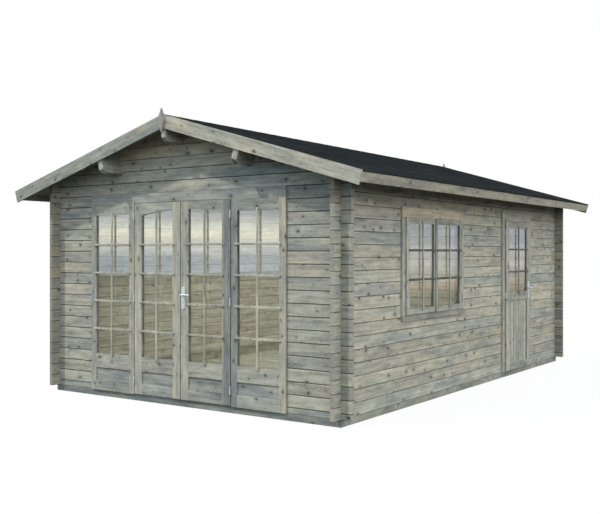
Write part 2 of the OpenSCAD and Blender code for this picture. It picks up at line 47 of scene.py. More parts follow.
# A level camera, with its horizon a little above the middle
cameraView = {
    "place": (5.673, -8.966, 1.472),
    "turn": 34.69,  # degrees to the left of straight on
    "lens": 52.18, "sensor": 36.0,
    "picture": (600, 514),
    "horizonRow": 252.81,
}


def addObject(name, data):
    piece = bpy.data.objects.new(name, data)
    scene.collection.objects.link(piece)
    return piece


def setCamera(view):
    data = bpy.data.cameras.new("gardenView")
    data.lens = view["lens"]
    data.sensor_width = view["sensor"]
    wide, high = view["picture"]
    data.shift_y = (view["horizonRow"] - high / 2) / wide
    camera = addObject("gardenView", data)
    camera.location = view["place"]
    camera.rotation_euler = (math.radians(90), 0, math.radians(view["turn"]))
    scene.camera = camera


setCamera(cameraView)
print("camera set")


# Measures that the pieces share, read from the frame
def corners(name):
    return [vertex.co for vertex in nodes[name].data.vertices]


def levels(name, axis, test):  # where along an axis a node has corners
    return sorted({round(c[axis], 4) for c in corners(name) if test(c)})


touch = 0.0005  # corners closer than this lie in one plane
ridgeCorner = max(corners("right_roof_boards"), key=lambda c: c.z)
eaveCorner = max(corners("right_roof_boards"), key=lambda c: c.x)
pitch = math.atan2(ridgeCorner.z - eaveCorner.z, eaveCorner.x - ridgeCorner.x)
slopeCos = math.cos(pitch)
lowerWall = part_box("right_wall_lower")
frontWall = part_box("front_wall_left")
logWalls = {
    "coursesBelowWindow": 7,
    "firstBoard": (17.0, 157.0),  # of the front and back logs, and of the side logs
    "farBoards": 61.0,  # added at the back and on the right
    "roomKnots": 0.7,
    "past": 0.002,  # clear of the corner
    # painted shade along the joints, over the shade of their real grooves
    "seamColour": (46, 44, 38),
    "seamShadeReach": (0.0020, 0.0068),  # half width of the painted shade line in a joint
    "seamShade": (0.84, 0.60),  # painted shade in the joints: on the front and back, and on the sides
    "highlightReach": (0.005, 0.010, 0.022),
    "highlightGain": (0.13, 0.05),  # painted highlight on the log edge below a joint, and above it
    "endLight": ((1.0, 0.84), (0.78, 1.0)),  # painted shade past the corners: front, back, left, right
    "gable": (2.15, 2.55),  # from here up, tanner logs and fainter painted shade in the joints
    "gableTone": 0.28, "gableSeam": 0.45,
    "cool": ((0.3, 1.0), (1.95, 2.05)),  # high on the right of the ends, in the shade under the right barge: bluer and paler logs, painted light
    "coolTone": -0.24, "coolLight": 0.24,
    "stubShade": 0.94,  # painted shade on the front faces of the stubs at the front corners
}
course = (lowerWall[1].z - lowerWall[0].z) / logWalls["coursesBelowWindow"]
sideSeam = lowerWall[0].z
endSeam = sideSeam + course / 2
logThick = lowerWall[1].x - lowerWall[0].x
outX, outY = lowerWall[1].x, -frontWall[0].y
midX, midY = outX - logThick / 2, outY - logThick / 2  # the middle planes of the walls


def linear(red, green, blue):  # a colour in screen values from 0 to 255
    parts = [v / 255 for v in (red, green, blue)]
    return [p / 12.92 if p <= 0.04045 else ((p + 0.055) / 1.055) ** 2.4 for p in parts] + [1.0]


# Node helpers, which work in the tree that was opened last
opened = {}


def openTree(owner):  # of a material or the world
    owner.use_nodes = True
    opened["tree"] = owner.node_tree
    return owner.node_tree.nodes


def addNode(kind, **settings):
    node = opened["tree"].nodes.new("ShaderNode" + kind)
    for key, value in settings.items():
        setattr(node, key, value)
    return node


def feed(socket, value):  # links a socket, or sets a plain value
    if isinstance(value, bpy.types.NodeSocket):
        opened["tree"].links.new(value, socket)
    else:
        socket.default_value = value


def feedAll(node, values):  # by the names of the sockets
    for name, value in values.items():
        feed(node.inputs[name], value)


def fill(node, *values):  # feeds the sockets in their order
    for socket, value in zip(node.inputs, values):
        feed(socket, value)
    return node.outputs[0]


def calc(operation, *values):
    return fill(addNode("Math", operation=operation), *values)


plus = partial(calc, "ADD")
minus = partial(calc, "SUBTRACT")
times = partial(calc, "MULTIPLY")
divide = partial(calc, "DIVIDE")
timesPlus = partial(calc, "MULTIPLY_ADD")
isOver = partial(calc, "GREATER_THAN")
isUnder = partial(calc, "LESS_THAN")
absolute = partial(calc, "ABSOLUTE")
wholePart = partial(calc, "FLOOR")
largest = partial(calc, "MAXIMUM")
either = partial(reduce, largest)  # of a list of masks


def mapRange(value, low, high, first=0.0, last=1.0):
    return fill(addNode("MapRange", interpolation_type="SMOOTHSTEP"), value, low, high, first, last)


def choose(mask, off, on):  # off where the mask is 0, on where it is 1
    return timesPlus(minus(on, off), mask, off)


def within(value, low, high):
    return times(isOver(value, low), isUnder(value, high))


def sideOf(value, step):  # 0 or step, by the sign of a coordinate
    return times(isOver(value, 0.0), step)


def swing(value, gain, base):  # base plus gain times how far a noise is from its middle
    return timesPlus(minus(value, 0.5), gain, base)


def mixColour(share, first, second, kind="MIX"):
    node = addNode("Mix", data_type="RGBA", blend_type=kind)
    for i, value in ((0, share), (6, first), (7, second)):  # its sockets for colours
        feed(node.inputs[i], value)
    return node.outputs[2]


def scaleColour(colour, factor):
    node = addNode("VectorMath", operation="SCALE")
    feedAll(node, {"Vector": colour, "Scale": factor})
    return node.outputs[0]


def combine(x, y, z=0.0):
    return fill(addNode("CombineXYZ"), x, y, z)


def stretched(parts, rates):
    return combine(*[times(part, rate) for part, rate in zip(parts, rates)])


def channels(colour):
    node = addNode("SeparateColor")
    fill(node, colour)
    return node.outputs


def draw(board):  # chance values that belong to one board
    node = addNode("TexWhiteNoise", noise_dimensions="1D")
    feed(node.inputs["W"], board)
    return node.outputs


def noise(point, scale=1.0, detail=2.0, rough=0.5):
    node = addNode("TexNoise")
    feedAll(node, {"Vector": point, "Scale": scale, "Detail": detail, "Roughness": rough})
    return node.outputs[0]


def colourRamp(value, stops):  # stops are (position, screen colour)
    node = addNode("ValToRGB")
    while len(node.color_ramp.elements) < len(stops):
        node.color_ramp.elements.new(0.5)
    for element, (position, colour) in zip(node.color_ramp.elements, stops):
        element.position = position
        element.color = linear(*colour)
    return fill(node, value)


def addBump(shader, height, strength, distance):
    bump = addNode("Bump")
    feedAll(bump, {"Strength": strength, "Distance": distance, "Height": height})
    feed(shader.inputs["Normal"], bump.outputs[0])


def finishMatt(shader, colour, height, look):
    feedAll(shader, {"Base Color": colour, "Roughness": look["rough"], "Specular IOR Level": look["shine"]})
    addBump(shader, height, *look["bump"])


def startMaterial(name):
    material = bpy.data.materials.new(name)
    return material, openTree(material)["Principled BSDF"]


def coordinate(kind):  # Object gives x, y and z in the part's own frame
    node = addNode("SeparateXYZ")
    fill(node, addNode("TexCoord").outputs[kind])
    return node.outputs


squareFrom = 0.8  # the least share of a normal along an axis


def facing(axis):  # 1 on faces square to an axis
    return isOver(absolute(coordinate("Normal")[axis]), squareFrom)


# Stained and weathered pine
woodLook = {
    "layers": {  # features to a metre along and across the grain, and their detail
        "patch": (1.7, 7.0, 2), "mottle": (5.5, 19.0, 3), "streak": (2.0, 36.0, 3), "fine": (30.0, 120.0, 1),
        "check": (1.0, 95.0, 2),
    },
    "layerRough": 0.55,
    "boardShift": (37.0, 11.0),  # how far apart boards may lie in the pattern
    "knots": (0.115, 0.52, (0.030, 0.105)),  # size of a cell, share of cells with a knot, its sizes
    "specks": (0.055, 0.26, (0.05, 0.11)),
    "core": 0.5,  # where a knot is full, as a share of its size
    "ring": (0.6, 2.6, 0.05),  # where its halo is full and where it ends
    "knotStretch": 1.55,  # along the grain
    "uneven": (45.0, 0.022),  # how the outline of a knot wanders
    "streakBend": 1.6,  # round a knot
    "checkRange": (0.66, 0.74),
    "boardTone": (0.42, 0.52),  # spread and middle
    "tone": {"patch": 1.10, "mottle": 0.25},
    "boardLight": 0.22,
    "light": {"mottle": 0.90, "patch": 0.35, "streak": 0.95, "fine": 0.65},
    "checkLight": -0.24, "speckLight": -0.45,
    "haloCover": 0.6, "knotCover": 0.92,
    "haloColour": (114, 111, 101), "knotColour": (62, 58, 52),
    "relief": {"fine": 0.5, "streak": 0.7, "check": -0.6},
    "bump": (0.6, 0.0012),
    "rough": 0.78, "shine": 0.25,
}
stain = [  # outside, from blue-grey to tan
    (0.00, (126, 135, 136)), (0.30, (146, 151, 144)), (0.55, (157, 158, 146)),
    (0.80, (166, 163, 147)), (1.00, (173, 166, 146)),
]
inside = [  # bare pine in the room
    (0.00, (140, 134, 120)), (0.35, (155, 149, 133)), (0.70, (167, 161, 145)), (1.00, (179, 173, 158)),
]


def woodGrain(along, across, board):
    look = woodLook
    chance = channels(draw(board)["Color"])
    run = timesPlus(chance[0], look["boardShift"][0], along)
    rise = timesPlus(chance[1], look["boardShift"][1], across)
    rate, wander = look["uneven"]
    uneven = noise(combine(run, rise), rate)
    longRun = divide(swing(uneven, wander, run), look["knotStretch"])
    longRise = swing(uneven, -wander, rise)

    def spots(cell, share, sizes):  # marks at random places: their cores, and the rings round them
        cells = addNode("TexVoronoi", voronoi_dimensions="2D")
        feedAll(cells, {"Vector": combine(longRun, longRise), "Scale": 1 / cell})
        picked = channels(cells.outputs["Color"])
        there = isUnder(picked[0], share)
        size = times(there, mapRange(picked[1], 0.0, 1.0, *sizes))
        full, wide, extra = look["ring"]
        core = mapRange(cells.outputs["Distance"], size, times(size, look["core"]))
        ring = mapRange(cells.outputs["Distance"], timesPlus(size, wide, extra), times(size, full))
        return times(there, core), times(there, ring)

    def layer(key, lift=0.0):
        alongRate, acrossRate, detail = look["layers"][key]
        point = combine(times(run, alongRate), timesPlus(rise, acrossRate, lift), board)
        return noise(point, detail=detail, rough=look["layerRough"])

    knot, halo = spots(*look["knots"])
    return {
        "chance": chance, "knot": knot, "halo": halo, "speck": spots(*look["specks"])[0],
        "patch": layer("patch"), "mottle": layer("mottle"), "fine": layer("fine"),
        "streak": layer("streak", times(halo, look["streakBend"])),
        "check": mapRange(layer("check"), *look["checkRange"]),
    }


def boardTone(grain):
    return swing(grain["chance"][2], *woodLook["boardTone"])


def woodColour(grain, palette, knots=1.0, tone=None, light=None):
    look = woodLook
    if tone is None:
        tone = boardTone(grain)
    for key, gain in look["tone"].items():
        tone = swing(grain[key], gain, tone)
    value = swing(grain["chance"][0], look["boardLight"], 1.0)
    for key, gain in look["light"].items():
        value = swing(grain[key], gain, value)
    value = timesPlus(grain["check"], look["checkLight"], value)
    value = timesPlus(grain["speck"], look["speckLight"] * knots, value)
    if light is not None:
        value = times(value, light)
    colour = scaleColour(colourRamp(tone, palette), value)
    for key in ("halo", "knot"):
        cover = times(grain[key], look[key + "Cover"] * knots)
        colour = mixColour(cover, colour, linear(*look[key + "Colour"]))
    return colour


def finishWood(shader, grain, colour):
    height = 0.0
    for key, gain in woodLook["relief"].items():
        height = timesPlus(grain[key], gain, height)
    finishMatt(shader, colour, height, woodLook)


endLook = {
    "pith": (0.08, -0.04),  # how far the middle of the rings may lie to a side
    "pithRise": 0.03,
    "rings": 1500.0,
    "wobble": (30.0, 9.0, 1.2),  # features to a metre, and what they do to the rings and to the tone
    "ringTone": 0.22,
    "boardTone": (0.5, 0.25),
    "colours": [(0.0, (126, 124, 115)), (0.5, (150, 148, 138)), (1.0, (168, 166, 154))],
}


def endGrain(across, rise, board):
    chance = draw(board)[0]
    pith = timesPlus(chance, *endLook["pith"])
    sides = (minus(across, pith), minus(rise, endLook["pithRise"]))
    far = calc("SQRT", plus(*[calc("POWER", side, 2.0) for side in sides]))
    rate, ringShift, toneShift = endLook["wobble"]
    wobble = noise(combine(across, rise, board), rate)
    rings = calc("SINE", timesPlus(far, endLook["rings"], times(wobble, ringShift)))
    tone = timesPlus(rings, endLook["ringTone"], timesPlus(chance, *endLook["boardTone"]))
    return colourRamp(swing(wobble, toneShift, tone), endLook["colours"])


# Log walls: a tint for each course, painted shade along the joints with painted highlights beside them, and end
# grain
def logWood(name, runAxis):
    look = logWalls
    material, shader = startMaterial(name)
    x, y, z = coordinate("Object")
    along, acrossWall = ((x, y), (y, x))[runAxis]
    rise = divide(minus(z, (endSeam, sideSeam)[runAxis]), course)
    row = wholePart(rise)
    far = isOver(acrossWall, 0.0)
    board = timesPlus(far, look["farBoards"], plus(row, look["firstBoard"][runAxis]))
    grain = woodGrain(along, z, board)
    tone = plus(boardTone(grain), mapRange(z, *look["gable"], 0.0, look["gableTone"]))
    light = None
    if runAxis == 0:
        # painted light: logs in the shade under the right barge made paler and bluer
        cool = times(mapRange(x, *look["cool"][0]), mapRange(z, *look["cool"][1]))
        tone = timesPlus(cool, look["coolTone"], tone)
        light = timesPlus(cool, look["coolLight"], 1.0)
    colour = woodColour(grain, stain, 1.0, tone, light)
    room = times(isUnder(absolute(x), midX), isUnder(absolute(y), midY))
    colour = mixColour(room, colour, woodColour(grain, inside, look["roomKnots"]))
    share = minus(rise, row)
    centred = times(minus(share, 0.5), course)
    thick = minus(absolute(acrossWall), (midY, midX)[runAxis])
    colour = mixColour(facing(runAxis), colour, endGrain(thick, centred, board))
    past = isOver(absolute(along), (outX, outY)[runAxis] + look["past"])
    # painted shade on the log ends past the corners, at the back and on the left
    colour = scaleColour(colour, choose(past, 1.0, choose(far, *look["endLight"][runAxis])))
    if runAxis == 0:
        # painted shade on the front faces of the front stubs
        stub = times(past, times(facing(1), minus(1.0, far)))
        colour = scaleColour(colour, choose(stub, 1.0, look["stubShade"]))
    above = times(share, course)  # height over the joint below
    below = minus(course, above)
    # painted highlight: a paler strip on the log edges beside each joint
    start, full, end = look["highlightReach"]
    for gap, gain in zip((below, above), (look["highlightGain"], look["highlightGain"][::-1])[runAxis]):
        paintedHighlight = times(mapRange(gap, start, full), mapRange(gap, end, full))
        colour = scaleColour(colour, timesPlus(paintedHighlight, gain, 1.0))
    # painted shade: a dark line along each joint, fainter up the gable
    narrow, wide = look["seamShadeReach"]
    dark = mapRange(calc("MINIMUM", above, below), wide, narrow, 0.0, look["seamShade"][runAxis])
    dark = times(dark, mapRange(z, *look["gable"], 1.0, look["gableSeam"]))
    finishWood(shader, grain, mixColour(dark, colour, linear(*look["seamColour"])))
    return material


# Boards, trim and joinery: a layout says how the grain runs, which board a point is in, and its tint
def boardWood(name, layout, palette=stain, knots=1.0):
    material, shader = startMaterial(name)
    run = layout(*coordinate("Object"))
    grain = woodGrain(run["along"], run["across"], run["board"])
    colour = woodColour(grain, palette, knots, run.get("tone"), run.get("light"))
    if "endAxis" in run:
        ends = endGrain(run["endAcross"], run["endRise"], run["board"])
        # the end grain is scaled by any painted light that the layout gives
        colour = mixColour(facing(run["endAxis"]), colour, scaleColour(ends, run["endLight"]))
    finishWood(shader, grain, colour)
    return material


# Each kind of timber has its own board numbers, and steps in its layout keep its boards apart
firstBoard = {
    "purlin": 305.0, "barge": 331.0, "fascia": 352.0, "finial": 361.0, "long": 371.0, "cross": 383.0,
    "upright": 391.0, "levelBar": 471.0, "doorBar": 481.0, "stile": 502.0, "rail": 553.0, "plank": 611.0,
    "sideRail": 631.0, "casing": 650.0, "sash": 671.0, "roof": 701.0, "floor": 901.0,
}
boardsPerMetre = {"purlin": 1.3, "long": 2.1, "upright": 2.3, "doorBar": 2.3, "sideRail": 2.0}
groundFade = (0.1, 0.6)  # timber is darker below these heights


def boardAt(kind, value):  # the number of the board at a coordinate
    return wholePart(timesPlus(value, boardsPerMetre[kind], firstBoard[kind]))


def boardOf(kind, step):
    return plus(step, firstBoard[kind])


def lay(along, across, board, **more):  # more may be a tone, a light, and how the ends look
    return {"along": along, "across": across, "board": board, **more}


def purlinLayout(x, y, z):
    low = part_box("right_purlin")[0]
    middle = wholePart(timesPlus(x, boardsPerMetre["purlin"], 0.5))  # -1, 0 or 1
    # painted light: the end faces are brightened as if sunlit
    return lay(y, plus(x, z), boardOf("purlin", middle), endAxis=1, endLight=1.4,
               endAcross=minus(x, times(middle, low.x)), endRise=minus(z, low.z))


def bargeLayout(x, y, z):
    out = absolute(x)
    right = isOver(x, 0.0)
    board = boardOf("barge", plus(sideOf(x, 3.0), sideOf(y, 7.0)))
    return lay(divide(out, slopeCos), timesPlus(out, math.tan(pitch), z), board,
               tone=choose(right, 0.42, 0.64), light=choose(right, 0.79, 1.04))


def fasciaLayout(x, y, z):
    return lay(y, z, boardOf("fascia", sideOf(x, 3.0)), tone=0.68, light=0.92)


def finialLayout(x, y, z):
    return lay(z, x, boardOf("finial", sideOf(y, 3.0)), tone=0.6, light=0.83)


def lengthLayout(x, y, z):  # timber along the house
    return lay(y, plus(x, z), boardAt("long", x), tone=0.5, light=mapRange(z, *groundFade, 0.74, 0.98))


def widthLayout(x, y, z):  # timber across the house
    board = boardOf("cross", sideOf(y, 2.0))
    return lay(x, plus(y, z), board, tone=0.2, light=mapRange(z, *groundFade, 0.70, 0.94))


def uprightLayout(x, y, z):
    return lay(z, plus(x, y), boardAt("upright", plus(x, y)), tone=0.5)


def framed(upright, level, z, deep):  # the grain runs up in uprights and level in rails
    return choose(upright, level, z), plus(choose(upright, z, level), deep)


# The front doors and sidelights: stiles run up, rails across
bite = 0.008  # how far each pane reaches into its frame
leafBox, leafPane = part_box("right_leaf"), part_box("right_leaf_glass")
fixedBox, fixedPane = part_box("right_sidelight"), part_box("sidelight_glass")
leafMiddle = (leafBox[0].x + leafBox[1].x) / 2
fixedMiddle = (fixedBox[0].x + fixedBox[1].x) / 2
leafOpen = leafPane[1].x - bite - leafMiddle
fixedOpen = fixedPane[1].x - bite - fixedMiddle
hingeLine = (leafBox[1].x + fixedBox[0].x) / 2
frontJoinery = {
    "stileTone": 0.64, "stileLight": 0.95,
    "leftTone": 0.34,  # the outer stile of the left sidelight
    "coolReach": 0.080,  # both stiles at the right leaf's hinges are cool and dark
    "coolTone": 0.22, "coolLight": 0.84,
    "railTones": (0.28, 0.22, 0.52, 0.34),  # from the foot up
    "railLights": (0.96, 0.88, 0.97, 0.96),
    "topRail": 0.3,  # over the foot of the glass, anywhere below the top rail
}


def frontJoineryLayout(x, y, z):
    look = frontJoinery
    out = absolute(x)
    fixed = isOver(out, hingeLine)
    off = minus(out, choose(fixed, leafMiddle, fixedMiddle))
    stile = isOver(absolute(off), choose(fixed, leafOpen, fixedOpen))
    panel = plus(times(fixed, 9.0), sideOf(x, 19.0))
    stileBoard = plus(panel, boardOf("stile", sideOf(off, 4.0)))
    panelEdges = levels("right_leaf", 2, lambda c: abs(c.x - leafMiddle) < leafOpen + 2 * touch)[:2]
    rail, railTone, railLight = firstBoard["rail"], look["railTones"][0], look["railLights"][0]
    for height, tone, light in zip(panelEdges + [leafPane[0].z + look["topRail"]], look["railTones"][1:],
                                   look["railLights"][1:]):
        over = isOver(z, height)
        rail = plus(rail, over)
        railTone = choose(over, railTone, tone)
        railLight = choose(over, railLight, light)
    cool = within(x, hingeLine - look["coolReach"], hingeLine + look["coolReach"])
    stileTone = choose(cool, look["stileTone"], look["coolTone"])
    stileTone = choose(isUnder(x, -fixedMiddle), stileTone, look["leftTone"])
    stileLight = choose(cool, look["stileLight"], look["coolLight"])
    return lay(*framed(stile, x, z, y), choose(stile, plus(panel, rail), stileBoard),
               tone=choose(stile, railTone, stileTone), light=choose(stile, railLight, stileLight))


# The side door: stiles, rails and a boarded lower panel
sideBox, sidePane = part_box("side_leaf"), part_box("side_leaf_glass")
sideMiddle = (sideBox[0].y + sideBox[1].y) / 2
sideOpen = sidePane[1].y - bite - sideMiddle
sideJoinery = {
    "planks": 7, "tone": 0.52, "railTone": 0.46, "railLight": 0.88, "stileLight": 1.04,
    "seam": (0.009, 0.004), "seamLight": 0.55,  # the dark line between two planks
    "inset": 0.01,  # clear of the stiles
}


def sideJoineryLayout(x, y, z):
    look = sideJoinery
    off = minus(y, sideMiddle)
    stile = isOver(absolute(off), sideOpen)
    clear = sideOpen - look["inset"]
    panelEdges = levels("side_leaf", 2, lambda c: abs(c.y - sideMiddle) < clear and c.z < sidePane[0].z)
    upright = largest(stile, within(z, panelEdges[0], panelEdges[-1]))
    step = 2 * sideOpen / look["planks"]
    plankPlace = divide(plus(off, sideOpen), step)
    plank = boardOf("plank", wholePart(plankPlace))
    fromSeam = times(calc("PINGPONG", plankPlace, 0.5), step)
    plankLight = mapRange(fromSeam, *look["seam"], 1.0, look["seamLight"])
    uprightLight = choose(stile, plankLight, look["stileLight"])
    return lay(*framed(upright, y, z, x), choose(upright, boardAt("sideRail", z), plank),
               tone=choose(upright, look["railTone"], look["tone"]),
               light=choose(upright, look["railLight"], uprightLight))


# The window: a casing with a tan head, and two sashes
sashBox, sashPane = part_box("window_sashes"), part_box("window_glass")
windowMiddle = (sashBox[0].y + sashBox[1].y) / 2
paneEdges = levels("window_glass", 1, lambda c: True)
sashOpenings = [(paneEdges[0] + bite, paneEdges[1] - bite), (paneEdges[2] + bite, paneEdges[3] - bite)]
windowJoinery = {
    "headTone": 1.05, "casingTone": 0.40, "footLight": 0.73, "casingKnots": 0.6, "sashKnots": 0.5,
    "sashTone": 0.44, "sashLight": 0.90, "hingeStileTone": 0.52, "hingeStileLight": 1.06,
    "meeting": (-0.022, 0.003), "meetingShade": 0.36,  # painted shade: the dark line where the sashes meet
}


def casingLayout(x, y, z):
    look = windowJoinery
    head = isOver(z, sashBox[1].z)
    beside = minus(1.0, within(y, sashBox[0].y, sashBox[1].y))
    stile = times(beside, minus(1.0, head))
    stileBoard = plus(sideOf(minus(y, windowMiddle), 3.0), 11.0)
    board = plus(times(stile, stileBoard), timesPlus(head, 5.0, firstBoard["casing"]))
    return lay(*framed(stile, y, z, x), board, tone=choose(head, look["casingTone"], look["headTone"]),
               light=choose(isUnder(z, sashBox[0].z), 1.0, look["footLight"]))


def sashLayout(x, y, z):
    look = windowJoinery
    stile = minus(1.0, either([within(y, low, high) for low, high in sashOpenings]))
    rear = isOver(y, windowMiddle)
    first = isUnder(y, sashOpenings[0][0])
    # painted shade along the line where the sashes meet
    meeting = within(y, *[windowMiddle + off for off in look["meeting"]])
    board = plus(times(rear, 3.0), timesPlus(stile, 13.0, firstBoard["sash"]))
    light = choose(first, look["sashLight"], look["hingeStileLight"])
    return lay(*framed(stile, y, z, x), timesPlus(first, 7.0, board),
               tone=choose(first, look["sashTone"], look["hingeStileTone"]),
               light=choose(meeting, light, look["meetingShade"]))


# Roof and floor boards
roofCover = {
    "boards": 68,  # roof boards on each slope
    "boardEase": 0.0025,
    "ridgeRun": 0.020,  # what is cut off at the ridge
    "exposure": 0.139,  # of one course of shingles
    "tab": 0.333, "slot": 0.006,
    "tabThick": (0.0012, 0.0036),
    "overlap": 0.020,
    "capStep": 0.215,
    "capThick": 0.003, "capTaper": 0.6, "capEase": 0.0008, "capWeld": 0.00005, "capGap": 0.004,
    "shade": (0.016, 0.002, 0.50),  # below the foot of a tab
    "slotShade": 0.45,
}
floorCover = {"boards": 61, "ease": 0.002, "gap": 0.0006, "light": 1.6, "past": 0.01, "doorReach": 1.0}


def boardInRow(name, count, y):  # which of a row of equal boards along Y a point is in
    low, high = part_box(name)
    return wholePart(divide(minus(y, low.y), (high.y - low.y) / count))


def roofBoardLayout(x, y, z):
    board = boardInRow("left_roof_boards", roofCover["boards"], y)
    return lay(divide(x, slopeCos), y, plus(board, boardOf("roof", sideOf(x, 91.0))))


def floorBoardLayout(x, y, z):
    board = boardInRow("floor_boards", floorCover["boards"], y)
    return lay(x, y, boardOf("floor", board), light=floorCover["light"])


# Charcoal shingles: tabs in rows down from the ridge cap, and cap pieces along it
shingleBox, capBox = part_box("right_shingles"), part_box("ridge_cap")
slopeLength = shingleBox[1].x / slopeCos
shingleStart = capBox[1].x / slopeCos + roofCover["capGap"]
shingleCount = round((slopeLength - shingleStart) / roofCover["exposure"])
rowStep = (slopeLength - shingleStart) / shingleCount
capCount = math.ceil((capBox[1].y - capBox[0].y) / roofCover["capStep"])
capStep = (capBox[1].y - capBox[0].y) / capCount
shingleLook = {
    "capRow": -5.0, "rightSlope": 3.0,  # numbers from which the tints of tabs are drawn
    "grit": (420.0, 2.0, 0.7),
    "cloud": (2.2, 3.0),
    "tabTone": 0.35, "gritTone": (0.5, -0.2), "cloudTone": 0.4,
    "colours": [(0.0, (26, 29, 30)), (0.5, (36, 39, 40)), (1.0, (54, 58, 58))],
    "rough": 0.95, "shine": 0.02, "bump": (0.5, 0.001),
}


def shingleFelt(name):
    look = shingleLook
    material, shader = startMaterial(name)
    x, y, z = coordinate("Object")
    down = divide(absolute(x), slopeCos)
    onCap = isUnder(down, shingleStart)
    rowPlace = divide(minus(down, shingleStart + roofCover["overlap"]), rowStep)
    row = wholePart(rowPlace)
    setOver = times(calc("PINGPONG", row, 1.0), roofCover["tab"] / 2)
    columnPlace = divide(plus(minus(y, shingleBox[0].y), setOver), roofCover["tab"])
    capPlace = divide(minus(y, capBox[0].y), capStep)
    column = choose(onCap, wholePart(columnPlace), wholePart(capPlace))
    tabTone = addNode("TexWhiteNoise", noise_dimensions="3D")
    tab = combine(choose(onCap, row, look["capRow"]), column, sideOf(x, look["rightSlope"]))
    feed(tabTone.inputs["Vector"], tab)
    belowFoot = times(minus(rowPlace, row), rowStep)
    belowCap = times(minus(1.0, calc("FRACT", capPlace)), capStep)
    far, near, depth = roofCover["shade"]
    shade = mapRange(choose(onCap, belowFoot, belowCap), far, near, 1.0, depth)
    toSlot = times(minus(1.0, calc("FRACT", columnPlace)), roofCover["tab"])
    slot = times(isUnder(toSlot, roofCover["slot"]), minus(1.0, onCap))
    shade = times(shade, choose(slot, 1.0, roofCover["slotShade"]))
    point = combine(x, y, z)
    grit = noise(point, *look["grit"])
    cloud = noise(point, *look["cloud"])
    tone = timesPlus(tabTone.outputs[0], look["tabTone"], timesPlus(grit, *look["gritTone"]))
    colour = colourRamp(timesPlus(cloud, look["cloudTone"], tone), look["colours"])
    finishMatt(shader, scaleColour(colour, shade), grit, look)
    return material


steelLook = {
    "handle": ((212, 219, 221), (232, 238, 239)), "hinge": ((184, 189, 188), (222, 226, 225)),
    "brush": (60.0, 60.0, 900.0), "marks": (0.3, 0.7), "rough": (0.26, 0.42), "metallic": 0.35,
}


def satinSteel(name, dark, pale):
    look = steelLook
    material, shader = startMaterial(name)
    brushed = noise(stretched(coordinate("Object"), look["brush"]))
    feedAll(shader, {"Base Color": mixColour(brushed, linear(*dark), linear(*pale)), "Metallic": look["metallic"],
                     "Roughness": mapRange(brushed, *look["marks"], *look["rough"])})
    return material


glassLook = {
    "tint": (240, 243, 240), "rough": 0.01, "ripple": (3.0, 1.0), "bump": (0.04, 0.004),
    "outer": 2.4, "inner": 1.12,  # how the panes bend light
}


def clearGlass(name, bend):
    look = glassLook
    material, shader = startMaterial(name)
    feedAll(shader, {"Base Color": linear(*look["tint"]), "Transmission Weight": 1.0, "Roughness": look["rough"],
                     "IOR": bend})
    addBump(shader, noise(combine(*coordinate("Object")), *look["ripple"]), *look["bump"])
    return material


shingleMaterial = shingleFelt("charcoalShingle")
hingeMaterial = satinSteel("hingeSteel", *steelLook["hinge"])
glassMaterial = clearGlass("outerGlass", glassLook["outer"])
roofBoardMaterial = boardWood("roofBoards", roofBoardLayout)
floorBoardMaterial = boardWood("floorBoards", floorBoardLayout, inside)


def ending(*ends):  # the nodes with such names
    return [name for name in nodes if name.endswith(ends)]


nodeMaterials = {
    logWood("frontAndBackLogs", 0): ["front_wall_left", "front_wall_right", "back_wall", *ending("_gable")],
    logWood("sideLogs", 1): ["left_wall", "right_wall_lower", "right_wall_front", "right_wall_pier",
                             "right_wall_rear", "right_wall_upper"],
    boardWood("purlins", purlinLayout): ending("_purlin"),
    boardWood("bargeBoards", bargeLayout): ending("_barge_boards"),
    boardWood("fascias", fasciaLayout): ["fascias"],
    boardWood("finials", finialLayout): ["finials"],
    boardWood("frontJoinery", frontJoineryLayout): ending("_sidelight", "left_leaf", "right_leaf"),
    boardWood("crossTimber", widthLayout): ["end_bearers", "front_head", "front_threshold"],
    boardWood("longTimber", lengthLayout): ["side_bearers", "floor_joists", "side_door_head", "side_door_threshold"],
    boardWood("uprightTrim", uprightLayout): ["side_door_jambs"],
    boardWood("sideDoorJoinery", sideJoineryLayout): ["side_leaf"],
    boardWood("windowCasing", casingLayout, stain, windowJoinery["casingKnots"]): ["window_frame"],
    boardWood("windowSash", sashLayout, stain, windowJoinery["sashKnots"]): ["window_sashes"],
    roofBoardMaterial: ending("_roof_boards"),
    floorBoardMaterial: ["floor_boards"],
    shingleMaterial: ending("_shingles", "ridge_cap"),
    satinSteel("satinSteel", *steelLook["handle"]): ending("_handle", "_lever"),
    hingeMaterial: ending("_hinges"),
    clearGlass("innerGlass", glassLook["inner"]): ending("_glass"),
}


def dress(piece, material):
    piece.data.materials.clear()
    piece.data.materials.append(material)


for material, names in nodeMaterials.items():
    for name in names:
        dress(nodes[name], material)
print("materials made")


# Modelling helpers
def pick(*pieces):  # selects these alone, the first one active
    bpy.ops.object.select_all(action="DESELECT")
    for piece in pieces:
        piece.select_set(True)
    bpy.context.view_layer.objects.active = pieces[0]


def setMode(mode):
    bpy.ops.object.mode_set(mode=mode)


def inEdit(piece, operation, **settings):  # runs an edit on all of a piece
    pick(piece)
    setMode("EDIT")
    bpy.ops.mesh.select_all(action="SELECT")
    operation(**settings)
    setMode("OBJECT")


def bevel(piece, ease, segments):
    inEdit(piece, bpy.ops.mesh.bevel, offset=ease, segments=segments, affect="EDGES")


def block(low, high, ease=0.0):  # a block between two corners with eased edges
    middle = [(a + b) / 2 for a, b in zip(low, high)]
    bpy.ops.mesh.primitive_cube_add(size=1.0, location=middle)
    piece = bpy.context.object
    piece.scale = [b - a for a, b in zip(low, high)]
    bpy.ops.object.transform_apply()
    if ease > 0:
        bevel(piece, ease, 1)
    return piece


